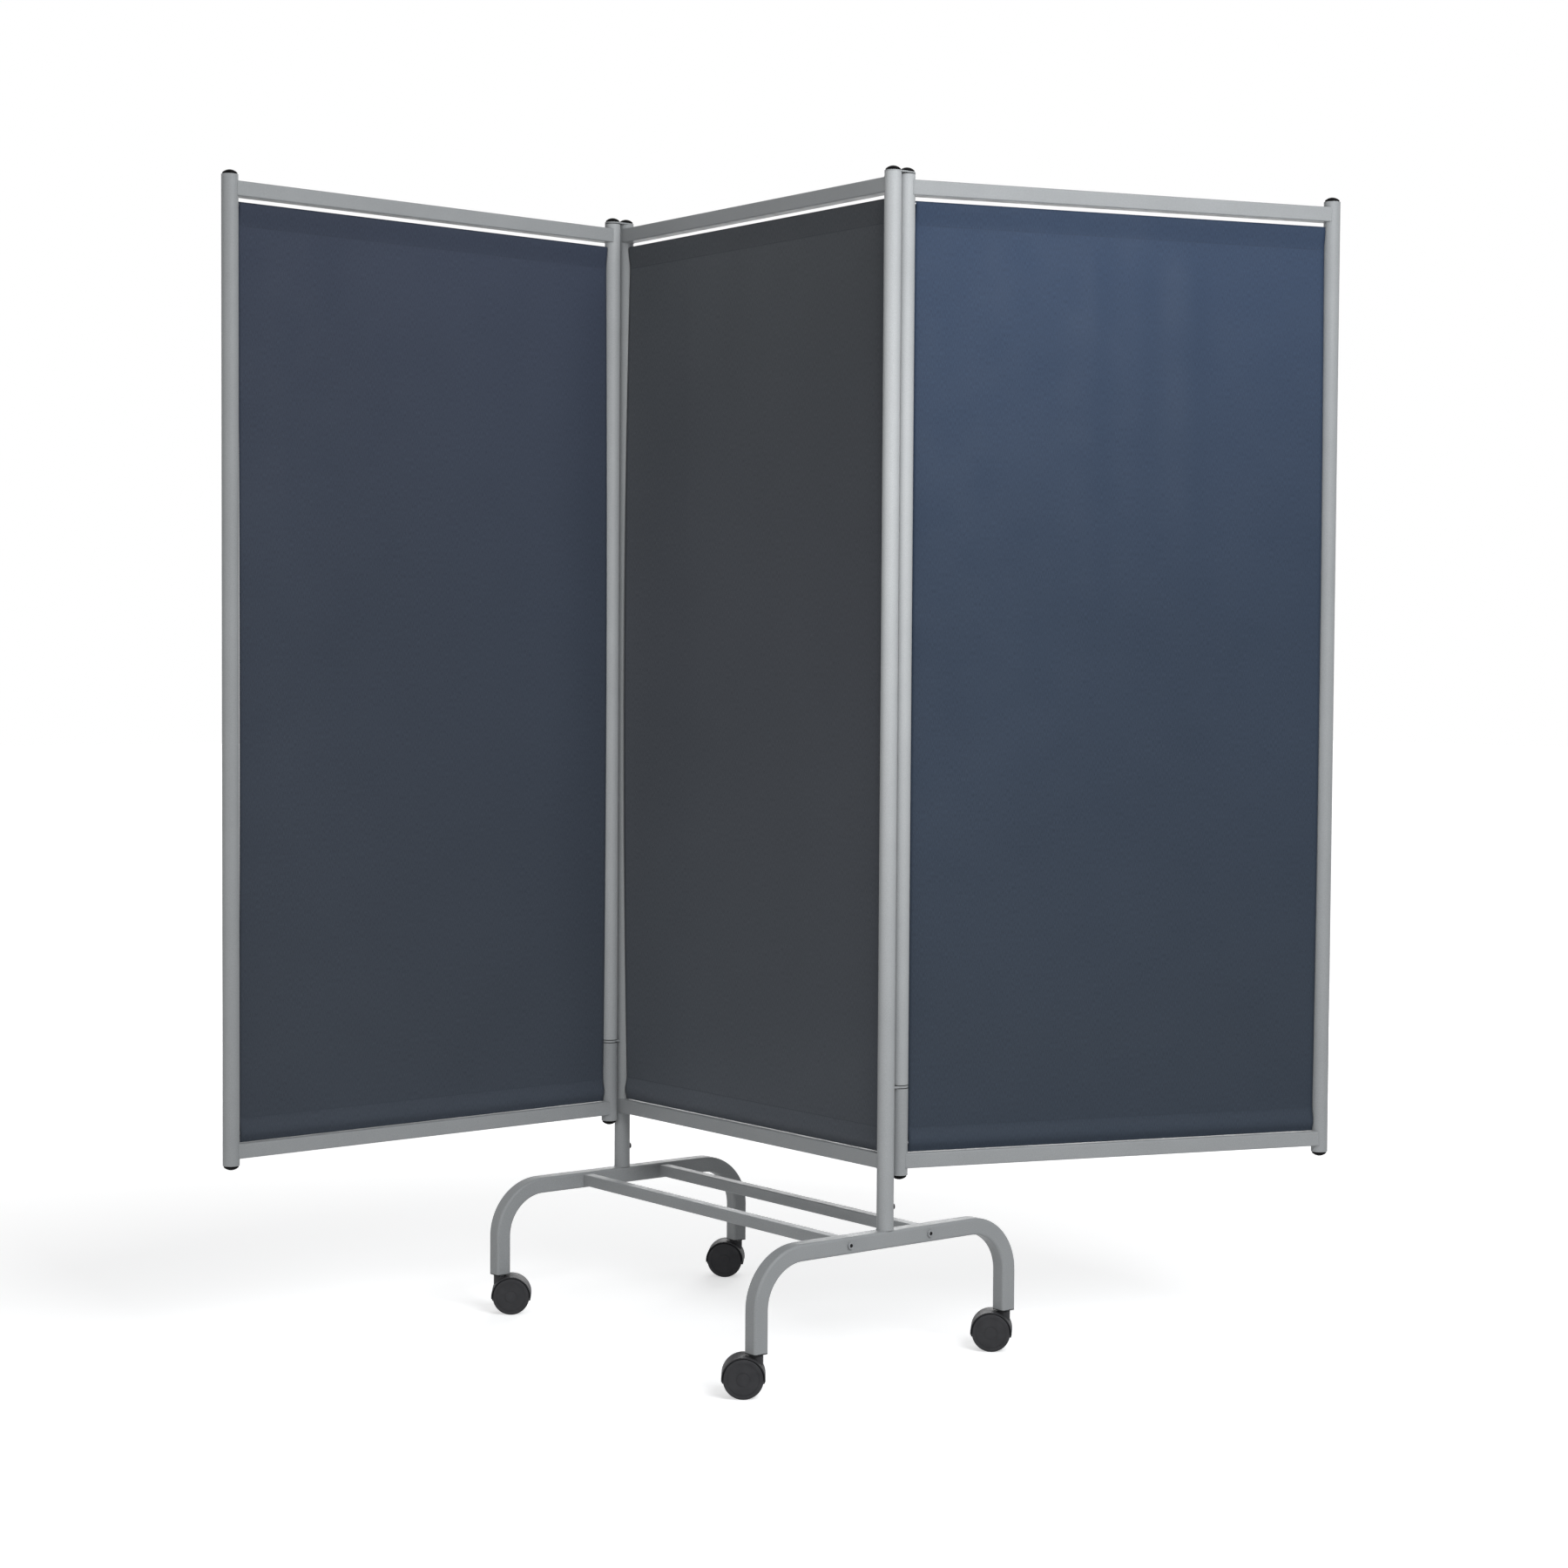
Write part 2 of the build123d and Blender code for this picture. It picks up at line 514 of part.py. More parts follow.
def base_nodes():
    """The base and the middle panel, every piece by name."""
    across = STRETCHER_PITCH / 2
    lift = Pos(0, 0, MIDDLE_LIFT)
    return {
        "leg_left": [Pos(-MIDDLE_SPAN / 2, 0, 0) * leg()],
        "leg_right": [Pos(MIDDLE_SPAN / 2, 0, 0) * leg()],
        "stretcher_front": [Pos(0, -across, STRETCHER_HEIGHT) * stretcher()],
        "stretcher_rear": [Pos(0, across, STRETCHER_HEIGHT) * stretcher()],
        "stretcher_bolts": stretcher_bolts(),
        "post_left": [post(-1)],
        "post_right": [post(1)],
        "post_spigots": post_spigots(),
        "post_screws": post_screws(),
        "middle_top_rail": [lift * rail(MIDDLE_SPAN, TOP_RAIL_HEIGHT)],
        "middle_bottom_rail": [lift * rail(MIDDLE_SPAN, BOTTOM_RAIL_HEIGHT)],
        "middle_curtain": [lift * curtain(MIDDLE_SPAN, -CLOTH_BOW)],
        "middle_top_rod": [lift * curtain_rod(MIDDLE_SPAN, TOP_ROD_HEIGHT)],
        "middle_bottom_rod": [lift * curtain_rod(MIDDLE_SPAN, BOTTOM_ROD_HEIGHT)],
        "hinge_lugs": at_hinges(hinge_lug()),
        "hinge_straps": at_hinges(hinge_strap()),
        "hinge_lower_pins": at_hinges(lower_pin()),
        "hinge_upper_pins": at_hinges(upper_pin()),
        "post_caps": at_hinges(post_cap()),
        "hinge_caps": at_hinges(hinge_cap()),
        "caster_sockets": at_feet(caster_socket()),
        "caster_stems": at_feet(caster_stem()),
    }


os.makedirs("parts", exist_ok=True)

for name, solids in base_nodes().items():
    save(name, solids)

# The wings, each turned about its own hinge axis
WINGS = {
    "left": (-1, LEFT_WING_DIRECTION, CLOTH_BOW),
    "right": (1, RIGHT_WING_DIRECTION, -CLOTH_BOW),
}
for wing_name, (side, direction, bow) in WINGS.items():
    place = Pos(side * MIDDLE_SPAN / 2, side * HINGE_OFFSET, 0) * Rot(0, 0, direction)
    for name, solids in wing(bow).items():
        save(f"{wing_name}_{name}", [place * solid for solid in solids])

# The casters, each turned to its heading at rest
for caster_name, (side_x, side_y, heading) in CASTERS.items():
    place = caster_place(side_x, side_y) * Rot(0, 0, heading)
    save(f"{caster_name}_hood", [place * caster_hood()])
    save(f"{caster_name}_axle", [place * caster_axle()])
    save(f"{caster_name}_wheel_near", [place * caster_wheel(-1)])
    save(f"{caster_name}_wheel_far", [place * caster_wheel(1)])
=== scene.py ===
import json
import math
import random

import bmesh
import bpy
from mathutils import Matrix, Vector


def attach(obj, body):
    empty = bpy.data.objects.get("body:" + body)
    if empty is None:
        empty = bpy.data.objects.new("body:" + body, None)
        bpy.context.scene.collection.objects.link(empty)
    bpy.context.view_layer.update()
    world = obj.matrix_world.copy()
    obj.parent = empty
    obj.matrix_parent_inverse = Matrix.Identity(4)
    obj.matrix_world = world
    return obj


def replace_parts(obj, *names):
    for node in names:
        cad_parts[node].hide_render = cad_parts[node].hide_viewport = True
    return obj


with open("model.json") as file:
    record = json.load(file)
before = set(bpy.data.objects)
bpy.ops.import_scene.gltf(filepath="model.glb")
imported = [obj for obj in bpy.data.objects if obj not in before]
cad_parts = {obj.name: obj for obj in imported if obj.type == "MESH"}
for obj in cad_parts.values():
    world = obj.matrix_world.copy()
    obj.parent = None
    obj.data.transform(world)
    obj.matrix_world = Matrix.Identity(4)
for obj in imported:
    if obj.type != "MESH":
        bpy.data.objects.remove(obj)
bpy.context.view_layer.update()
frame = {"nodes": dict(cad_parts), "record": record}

# The frame's sizes in metres. The heights of rails, rods and seams are the wings'; the middle
# panel's are MIDDLE_LIFT more.
MM = 0.001
UPRIGHT_RADIUS = 12.5 * MM
RAIL_HALF = 11 * MM
TOP_RAIL_Z = 1721 * MM
BOTTOM_RAIL_Z = 309.5 * MM
LEG_TOP_Z = 210 * MM
STRETCHER_Y = 76 * MM
STRETCHER_Z = 198 * MM
POST_X = 333 * MM
HINGE_Y = 26 * MM
MIDDLE_LIFT = 2 * MM
MIDDLE_SPAN = 666 * MM
WING_SPAN = 696 * MM

# The eyes of the hinge lugs: their radius in the CAD, how near to it a point has to be to count
# as theirs, and their radius here
LUG_RADIUS = 11 * MM
LUG_SLACK = 0.1 * MM
EYE_RADIUS = 12.4 * MM

# The cloth's thickness, half the distance between two sewn layers, and the radius of the pockets
# round the rods
CLOTH = 0.7 * MM
LAYER = 0.45 * MM
POCKET = 3.8 * MM

# The heights of the rods, the seams and the lower fold, and how far the raw edges pass the seams
TOP_ROD_Z = 1698.8 * MM
TOP_SEAM_Z = 1668 * MM
FOOT_SEAM_Z = 357.3 * MM
FOOT_ROD_Z = 335.5 * MM
FOOT_FOLD_Z = 321.7 * MM
FLAP = 2.6 * MM

# From an upright's axis to the cloth's edge, the bow in the middle of the cloth, and how far in
# from its edges that bow changes
SIDE_GAP = 13.3 * MM
BOW = 5 * MM
EDGE_REACH = 120 * MM

# Each panel: its body, the place of its first upright, its direction in degrees, the span between
# its uprights' axes, the side to which its cloth bows, and the bow at the cloth's first and last
# edge as shares of the bow in the middle
PANELS = {
    "middle": {
        "body": "base",
        "place": (-POST_X, 0, MIDDLE_LIFT),
        "direction": 0,
        "span": MIDDLE_SPAN,
        "side": -1,
        "edges": (1.7, 0.9),
    },
    "left": {
        "body": "wing_left",
        "place": (-POST_X, -HINGE_Y, 0),
        "direction": 272,
        "span": WING_SPAN,
        "side": 1,
        "edges": (1, 0.5),
    },
    "right": {
        "body": "wing_right",
        "place": (POST_X, HINGE_Y, 0),
        "direction": 71,
        "span": WING_SPAN,
        "side": -1,
        "edges": (-0.2, 0.9),
    },
}

# The right curtain's folds: each one's place across, width and depth, and how far it runs down
# as a share of the drop
RIGHT_FOLDS = [
    (147 * MM, 43 * MM, -4.5 * MM, 0.5),
    (283 * MM, 26 * MM, -6 * MM, 0.6),
    (353 * MM, 34 * MM, -6.5 * MM, 0.55),
    (439 * MM, 30 * MM, -7 * MM, 0.6),
]

# The slighter folds of the other curtains: the seed of the draws, the number of folds, and their
# greatest depth
FOLD_DRAWS = {"middle": (3, 6, 0.5 * MM), "left": (5, 7, 0.7 * MM)}

# The limits of the draws: a fold's place in its own stretch of the cloth, its width in
# millimetres, and how far it runs down
FOLD_PLACES = (0.2, 0.8)
FOLD_WIDTHS = (14, 30)
FOLD_RUNS = (0.35, 0.9)

# How fast a fold sets in below the upper seam, and the power with which it fades
FOLD_ONSET = 22
FOLD_FADE = 1.5

# Steps along the cloth's section and across its width
ROD_STEPS = 14
RISE_STEPS = 8
DROP_STEPS = 180
POCKET_STEPS = 7
FOOT_STEPS = 5
CREASE_STEPS = 6
CLOTH_COLUMNS = 120

# The stitches' length, pitch, radius and sides, and their profile: places along them with the
# share of the radius there
STITCH_LENGTH = 3 * MM
STITCH_PITCH = 4.2 * MM
STITCH_RADIUS = 0.22 * MM
STITCH_SIDES = 6
STITCH_PROFILE = ((0, 0.45), (0.2, 1), (0.8, 1), (1, 0.45))

# The weld beads' radius, how much and how fast it wavers, and how far they stay inside the edges
# of a rail and of a leg
WELD_RADIUS = 0.9 * MM
WELD_WAVER = 0.12
WELD_RIPPLE = 2.3
WELD_SIDES = 8
RAIL_WELD_INSET = 0.4 * MM
LEG_WELD_INSET = 0.5 * MM
RAIL_WELD_STEPS = 10
POST_WELD_STEPS = 40

# The camera's place, its yaw, pitch and roll in degrees, its lens and its sensor's width in
# millimetres
CAMERA_PLACE = (3.5255, -2.7129, 1.0294)
CAMERA_ANGLES = (51.712, -2.321, 0.362)
CAMERA_LENS = 66.387
CAMERA_SENSOR = 36

# The floor: half its side, its matt grey, and two distances from its middle with the strength of
# the glow that the camera sees there
FLOOR_HALF = 30
FLOOR_GREY = (0.8, 0.8, 0.8, 1)
GLOW_FROM = (1.2, 0.55)
GLOW_TO = (4, 1)

# The soft light from all round
SKY_TINT = (0.98, 0.99, 1, 1)
SKY_STRENGTH = 0.22

# The lamps: each one's name, place, target, size in metres, power in watts, and tint
WHITE = (1, 1, 1, 1)
LAMPS = [
    ("top", (1.0, 0.5, 4.3), (0, 0, 0.8), (3, 3), 20, WHITE),
    ("front", (2.6, -0.3, 2.3), (0.3, 0, 1.5), (1.6, 1.6), 68, (0.96, 0.98, 1, 1)),
    ("fill", (0.25, -4.3, 0.8), (0, 0, 0.8), (3, 2), 44, WHITE),
    ("rear", (-3.2, 3.4, 2.2), (0, 0, 0.9), (3, 3), 90, WHITE),
]
HINGE_GLOW = ("hinge_glow", (1.02, -0.58, 1.32), (0.33, 0, 1.3), (1.2, 0.3), 7, WHITE)
HINGE_TUBES = ("post_right", "right_upper_hinge_tube", "left_upper_hinge_tube")


def panel_place(name):
    """The matrix from a panel's own frame, x along its width, to the shared frame."""
    panel = PANELS[name]
    turn = Matrix.Rotation(math.radians(panel["direction"]), 4, "Z")
    return Matrix.Translation(panel["place"]) @ turn


def linear(value):
    """One sRGB channel of 0 to 255 as linear light."""
    share = value / 255
    return share / 12.92 if share <= 0.04045 else ((share + 0.055) / 1.055) ** 2.4


def colour(red, green, blue):
    """An sRGB colour with channels of 0 to 255, as a shader takes it."""
    return (linear(red), linear(green), linear(blue), 1)


# Materials

# The part of a noise texture's range over which it changes colours and roughness
NOISE_LOW, NOISE_HIGH = 0.3, 0.7

# The sockets of a colour mix by number, since those of its other kinds have the same names
MIX_SHARE, MIX_FIRST, MIX_SECOND, MIX_RESULT = 0, 6, 7, 2

# The heights between which a curtain's tone changes, and the shares of that range at which its
# three colours stand; on the wings that change is painted light, bluer towards the top
TONE_FOOT_Z, TONE_TOP_Z = 0.35, 1.7
TONE_STOPS = (0.1, 0.55, 0.95)

# The seams' heights with the tones of the cloth above and below them: painted shade darkens the
# upper hem and painted light brightens the lower hem
HEM_PAINTED_SHADING = ((TOP_SEAM_Z, 0.9, 1), (FOOT_SEAM_Z, 1, 1.08))

# The cloth's yarns: how fine they are, and the stretch that draws them along and across
YARN_SCALE = 1400
YARNS_ALONG = (1, 0.12, 1)
YARNS_ACROSS = (0.12, 1, 1)

# The radius of the painted shade in the drive recess of a bolt's head, and the radius at which
# the head's own colour returns
RECESS_RADIUS = 2.6 * MM
RECESS_RIM = 3.1 * MM


class Material:
    """A material's node tree with short ways to add to it."""

    def __init__(self, name, rough, **sockets):
        self.material = bpy.data.materials.new(name)
        self.material.use_nodes = True
        self.nodes = self.material.node_tree.nodes
        self.links = self.material.node_tree.links
        self.shader = self.nodes["Principled BSDF"]
        self.shader.inputs["Roughness"].default_value = rough
        for socket, value in sockets.items():
            self.shader.inputs[socket.replace("_", " ")].default_value = value
        self.last_bump = None

    def add(self, kind, **settings):
        node = self.nodes.new(kind)
        for key, value in settings.items():
            setattr(node, key, value)
        return node

    def place(self, uv=False):
        return self.add("ShaderNodeTexCoord").outputs["UV" if uv else "Object"]

    def split(self):
        """The object coordinates one by one."""
        node = self.add("ShaderNodeSeparateXYZ")
        self.links.new(self.place(), node.inputs["Vector"])
        return node.outputs

    def noise(self, scale, detail, uv=False, stretch=None):
        source = self.place(uv)
        if stretch:
            mapping = self.add("ShaderNodeMapping")
            mapping.inputs["Scale"].default_value = stretch
            self.links.new(source, mapping.inputs["Vector"])
            source = mapping.outputs["Vector"]
        node = self.add("ShaderNodeTexNoise")
        node.inputs["Scale"].default_value = scale
        node.inputs["Detail"].default_value = detail
        self.links.new(source, node.inputs["Vector"])
        return node.outputs["Fac"]

    def ramp(self, source, *stops):
        node = self.add("ShaderNodeValToRGB")
        elements = node.color_ramp.elements
        while len(elements) < len(stops):
            elements.new(0.5)
        for element, (at, value) in zip(elements, stops):
            element.position = at
            element.color = value
        self.links.new(source, node.inputs["Fac"])
        return node.outputs["Color"]

    def mottle(self, source, dark, light, low=NOISE_LOW, high=NOISE_HIGH):
        """A noise as a change between two colours."""
        return self.ramp(source, (low, dark), (high, light))

    def span(self, source, low, high, to_low, to_high):
        node = self.add("ShaderNodeMapRange")
        sockets = ("From Min", "From Max", "To Min", "To Max")
        for socket, value in zip(sockets, (low, high, to_low, to_high)):
            node.inputs[socket].default_value = value
        self.links.new(source, node.inputs["Value"])
        return node.outputs["Result"]

    def mix(self, share, first, second, blend="MIX"):
        node = self.add("ShaderNodeMix", data_type="RGBA", blend_type=blend)
        sockets = (MIX_SHARE, MIX_FIRST, MIX_SECOND)
        for socket, value in zip(sockets, (share, first, second)):
            if isinstance(value, bpy.types.NodeSocket):
                self.links.new(value, node.inputs[socket])
            else:
                node.inputs[socket].default_value = value
        return node.outputs[MIX_RESULT]

    def bump(self, height, distance, strength):
        """Adds a relief on top of those that are there already."""
        node = self.add("ShaderNodeBump")
        node.inputs["Strength"].default_value = strength
        node.inputs["Distance"].default_value = distance
        self.links.new(height, node.inputs["Height"])
        if self.last_bump:
            self.links.new(self.last_bump, node.inputs["Normal"])
        self.last_bump = node.outputs["Normal"]
        self.feed("Normal", self.last_bump)

    def vary_roughness(self, scale, detail, smooth, rough):
        """Lets the roughness wander between two values."""
        source = self.noise(scale, detail)
        self.feed("Roughness", self.span(source, NOISE_LOW, NOISE_HIGH, smooth, rough))

    def feed(self, socket, source):
        self.links.new(source, self.shader.inputs[socket])


def powder_coat():
    """Satin silver-grey powder coat: orange peel and a faint mottle."""
    made = Material("powder_coat", rough=0.5, Specular_IOR_Level=0.2)
    mottle = made.mottle(made.noise(9, detail=4), colour(144, 146, 147), colour(151, 153, 154))
    grain = made.noise(900, detail=2)
    speck = made.mottle(grain, colour(139, 141, 142), colour(156, 158, 159), low=0.42, high=0.6)
    made.feed("Base Color", made.mix(0.35, mottle, speck))
    made.vary_roughness(60, detail=4, smooth=0.44, rough=0.56)
    made.bump(made.noise(420, detail=2), distance=0.12 * MM, strength=0.5)
    return made.material


def coated_cloth(name, tones, axis, start, end):
    """Dark coated cloth with a fine grain, painted shade and light on its doubled hems, and a tone
    that changes softly.

    tones are its colours from the foot to the top; on the wings they grow bluer towards the top as
    a painted reflection of bluish light. start and end are places on the axis, each with the share
    of the tone there; that change across the panel is painted light and shade.
    """
    made = Material(
        name, rough=0.6, Specular_IOR_Level=0.12, Sheen_Weight=0.02, Sheen_Roughness=0.5
    )
    place = made.split()
    # Painted light: on the wings the colours from foot to top grow bluer towards the top, a
    # painted reflection of bluish light
    height = made.span(place["Z"], TONE_FOOT_Z, TONE_TOP_Z, 0, 1)
    tone = made.ramp(height, *zip(TONE_STOPS, tones))
    # Painted shade on the upper hem and painted light on the lower hem, as bands of the tone's
    # share
    for seam, above, below in HEM_PAINTED_SHADING:
        painted_hem_shading = made.span(place["Z"], seam, seam + MM, below, above)
        tone = made.mix(1, tone, painted_hem_shading, "MULTIPLY")
    # Painted light and shade across the panel: the tone's share runs from start to end along the
    # axis, lightening and darkening the cloth in place of how light falls on it
    across = made.span(place[axis], start[0], end[0], start[1], end[1])
    tone = made.mix(1, tone, across, "MULTIPLY")
    mottle = made.mottle(made.noise(3, detail=2), colour(240, 240, 240), WHITE)
    yarns = [
        made.noise(YARN_SCALE, detail=2, uv=True, stretch=stretch)
        for stretch in (YARNS_ALONG, YARNS_ACROSS)
    ]
    shade = made.mottle(yarns[0], colour(225, 225, 225), WHITE, low=0.35, high=0.65)
    tone = made.mix(0.6, tone, mottle, "MULTIPLY")
    made.feed("Base Color", made.mix(1, tone, shade, "MULTIPLY"))
    made.vary_roughness(14, detail=3, smooth=0.55, rough=0.68)
    for yarn in yarns:
        made.bump(yarn, distance=0.1 * MM, strength=0.35)
    return made.material


def plastic(name, dark, light, rough, grain, depth, specular=0.2):
    """Moulded plastic with a fine texture and slight changes of its colour and roughness."""
    made = Material(name, rough, Specular_IOR_Level=specular)
    made.feed("Base Color", made.mottle(made.noise(70, detail=4), dark, light))
    made.vary_roughness(45, detail=3, smooth=rough * 0.85, rough=rough * 1.15)
    made.bump(made.noise(grain, detail=2), depth, strength=0.4)
    return made.material


def plain_steel(name, dark, light, rough):
    """Zinc-plated or oxidised steel with drawing lines and spangle."""
    made = Material(name, rough, Metallic=1)
    made.feed("Base Color", made.mottle(made.noise(160, detail=4), dark, light))
    made.vary_roughness(240, detail=3, smooth=rough * 0.8, rough=rough * 1.2)
    lines = made.noise(700, detail=2, stretch=(1, 1, 0.1))
    made.bump(lines, distance=0.04 * MM, strength=0.4)
    return made.material


def bolt_steel():
    """Dull zinc-plated bolts, with painted shade inside the drive recess of each head."""
    made = Material("bolt_steel", rough=0.5, Specular_IOR_Level=0.4)
    place = made.split()
    side = made.add("ShaderNodeMath", operation="ABSOLUTE")
    made.links.new(place["Y"], side.inputs[0])
    sources = {"Y": (side.outputs[0], STRETCHER_Y), "Z": (place["Z"], STRETCHER_Z)}
    offsets = made.add("ShaderNodeCombineXYZ")
    for axis, (source, middle) in sources.items():
        offset = made.add("ShaderNodeMath", operation="SUBTRACT")
        offset.inputs[1].default_value = middle
        made.links.new(source, offset.inputs[0])
        made.links.new(offset.outputs[0], offsets.inputs[axis])
    reach = made.add("ShaderNodeVectorMath", operation="LENGTH")
    made.links.new(offsets.outputs["Vector"], reach.inputs[0])
    painted_recess_shade = made.span(reach.outputs["Value"], RECESS_RADIUS, RECESS_RIM, 0, 1)
    plate = made.mottle(made.noise(160, detail=4), colour(132, 134, 136), colour(158, 160, 162))
    # Painted shade: near black inside the drive recess, the head's own colour outside it
    made.feed("Base Color", made.mix(painted_recess_shade, colour(14, 13, 14), plate))
    made.vary_roughness(240, detail=3, smooth=0.42, rough=0.58)
    made.bump(made.noise(700, detail=2), distance=0.04 * MM, strength=0.4)
    return made.material


COAT = powder_coat()
# The curtains' colours hold painted light: the wings' tones grow bluer towards the top, and start
# and end paint light and shade across each panel
CLOTHS = {
    "middle": coated_cloth(
        "cloth_middle",
        tones=(colour(82, 86, 92), colour(82, 85, 91), colour(82, 85, 89)),
        axis="X",
        start=(-0.33, 1.24),
        end=(0.3, 0.9),
    ),
    "left": coated_cloth(
        "cloth_left",
        tones=(colour(64, 70, 79), colour(60, 67, 79), colour(60, 67, 82)),
        axis="Y",
        start=(-0.68, 0.98),
        end=(-0.05, 1.16),
    ),
    "right": coated_cloth(
        "cloth_right",
        tones=(colour(57, 65, 76), colour(52, 63, 79), colour(57, 71, 93)),
        axis="X",
        start=(0.35, 1.02),
        end=(0.55, 0.963),
    ),
}
THREAD = plastic(
    "thread", colour(38, 42, 50), colour(50, 55, 64), rough=0.7, grain=2500, depth=0.05 * MM
)
BOLT_STEEL = bolt_steel()
SLOT_MATERIALS = {
    "frame_paint": COAT,
    "cap_plastic": plastic(
        "gloss_black",
        colour(5, 5, 6),
        colour(9, 9, 10),
        rough=0.5,
        grain=300,
        depth=0.02 * MM,
        specular=0.03,
    ),
    "black_nylon": plastic(
        "black_nylon",
        colour(26, 26, 27),
        colour(36, 36, 38),
        rough=0.5,
        grain=900,
        depth=0.05 * MM,
    ),
    "caster_plastic": plastic(
        "caster_grey",
        colour(48, 48, 50),
        colour(56, 56, 58),
        rough=0.6,
        grain=1100,
        depth=0.08 * MM,
    ),
    "plain_steel": plain_steel(
        "zinc_steel", colour(150, 152, 155), colour(186, 188, 190), rough=0.32
    ),
    "dark_screw": plain_steel("dark_oxide", colour(34, 34, 36), colour(54, 54, 57), rough=0.4),
}
for part in frame["record"]["subparts"]:
    material = SLOT_MATERIALS.get(part["material_slot"])
    if material:
        mesh = frame["nodes"][part["node"]].data
        mesh.materials.clear()
        mesh.materials.append(BOLT_STEEL if part["node"] == "stretcher_bolts" else material)


# Pieces
def made_mesh(name, form):
    """The mesh of a finished form, which is freed."""
    mesh = bpy.data.meshes.new(name)
    form.to_mesh(mesh)
    form.free()
    return mesh


def add_piece(name, mesh, material, body):
    """Puts a finished mesh in the scene, riding on its body."""
    piece = bpy.data.objects.new(name, mesh)
    bpy.context.scene.collection.objects.link(piece)
    mesh.materials.append(material)
    for polygon in mesh.polygons:
        polygon.use_smooth = True
    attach(piece, body)
    return piece


def skin(form, rings):
    """Faces between rings of points, each turned to suit the one before, and one at each end."""
    sides = len(rings[0])
    for first, second in zip(rings, rings[1:]):
        turn = min(range(sides), key=lambda k: (first[0].co - second[k].co).length)
        turned = second[turn:] + second[:turn]
        for step in range(sides):
            after = (step + 1) % sides
            form.faces.new((first[step], first[after], turned[after], turned[step]))
    form.faces.new(rings[0][::-1])
    form.faces.new(rings[-1])


# Curtains
def arc(centre, radius, start, end, steps):
    """Points round a circle in a hem's section, angles in degrees from the panel's normal."""
    points = []
    for step in range(steps + 1):
        angle = math.radians(start + (end - start) * step / steps)
        points.append((radius * math.cos(angle), centre + radius * math.sin(angle)))
    return points


def eased(first, last, steps):
    """Points from one place to another that leave and arrive along the sheet."""
    points = []
    for step in range(1, steps):
        share = step / steps
        smooth = share * share * (3 - 2 * share)
        off = first[0] + (last[0] - first[0]) * smooth
        points.append((off, first[1] + (last[1] - first[1]) * share))
    return points


def cloth_line():
    """The cloth's section: the upper flap, over the rod, down the panel, round the lower rod."""
    crease_z = FOOT_FOLD_Z + LAYER
    upper = arc(TOP_ROD_Z, POCKET, 180, 0, ROD_STEPS)
    line = [(-LAYER, TOP_SEAM_Z - FLAP), (-LAYER, TOP_SEAM_Z)]
    line += eased(line[-1], upper[0], RISE_STEPS) + upper
    line += eased(upper[-1], (LAYER, TOP_SEAM_Z), RISE_STEPS) + [(LAYER, TOP_SEAM_Z)]
    for step in range(1, DROP_STEPS):
        line.append((LAYER, TOP_SEAM_Z + (FOOT_SEAM_Z - TOP_SEAM_Z) * step / DROP_STEPS))
    line += [(LAYER, FOOT_SEAM_Z)]
    line += eased((LAYER, FOOT_SEAM_Z), (POCKET, FOOT_ROD_Z), POCKET_STEPS)
    line += [(POCKET, FOOT_ROD_Z)]
    line += eased((POCKET, FOOT_ROD_Z), (LAYER, crease_z), FOOT_STEPS)
    line += arc(crease_z, LAYER, 0, -180, CREASE_STEPS)
    line += eased((-LAYER, crease_z), (-POCKET, FOOT_ROD_Z), FOOT_STEPS)
    line += [(-POCKET, FOOT_ROD_Z)]
    line += eased((-POCKET, FOOT_ROD_Z), (-LAYER, FOOT_SEAM_Z), POCKET_STEPS)
    line += [(-LAYER, FOOT_SEAM_Z), (-LAYER, FOOT_SEAM_Z + FLAP)]
    return line


def folds_of(name, width):
    """A curtain's soft vertical folds: each one's place, width, depth and run down the drop."""
    if name == "right":
        return RIGHT_FOLDS
    seed, count, depth = FOLD_DRAWS[name]
    chance = random.Random(seed)
    folds = []
    for number in range(count):
        at = width * (number + chance.uniform(*FOLD_PLACES)) / count
        wide = chance.uniform(*FOLD_WIDTHS) * MM
        deep = depth * chance.uniform(-1, 1)
        folds.append((at, wide, deep, chance.uniform(*FOLD_RUNS)))
    return folds


def bulge(name, x, z, width, folds):
    """How far the hanging cloth stands off the panel's plane at a place on it."""
    middle = (TOP_SEAM_Z + FOOT_SEAM_Z) / 2
    reach = (TOP_SEAM_Z - FOOT_SEAM_Z) / 2
    share = max(0.0, 1 - ((z - middle) / reach) ** 2)
    first, last = PANELS[name]["edges"]
    near_first = max(0.0, 1 - x / EDGE_REACH) ** 2
    near_last = max(0.0, 1 - (width - x) / EDGE_REACH) ** 2
    bow = PANELS[name]["side"] * BOW * (1 + (first - 1) * near_first + (last - 1) * near_last)
    total = bow * share
    below = (TOP_SEAM_Z - z) / (2 * reach)
    if 0 < below < 1:
        onset = min(1, below * FOLD_ONSET)
        for at, wide, deep, run in folds:
            fade = max(0.0, 1 - below / run) ** FOLD_FADE
            total += onset * fade * deep * math.exp(-(((x - at) / wide) ** 2))
    return total


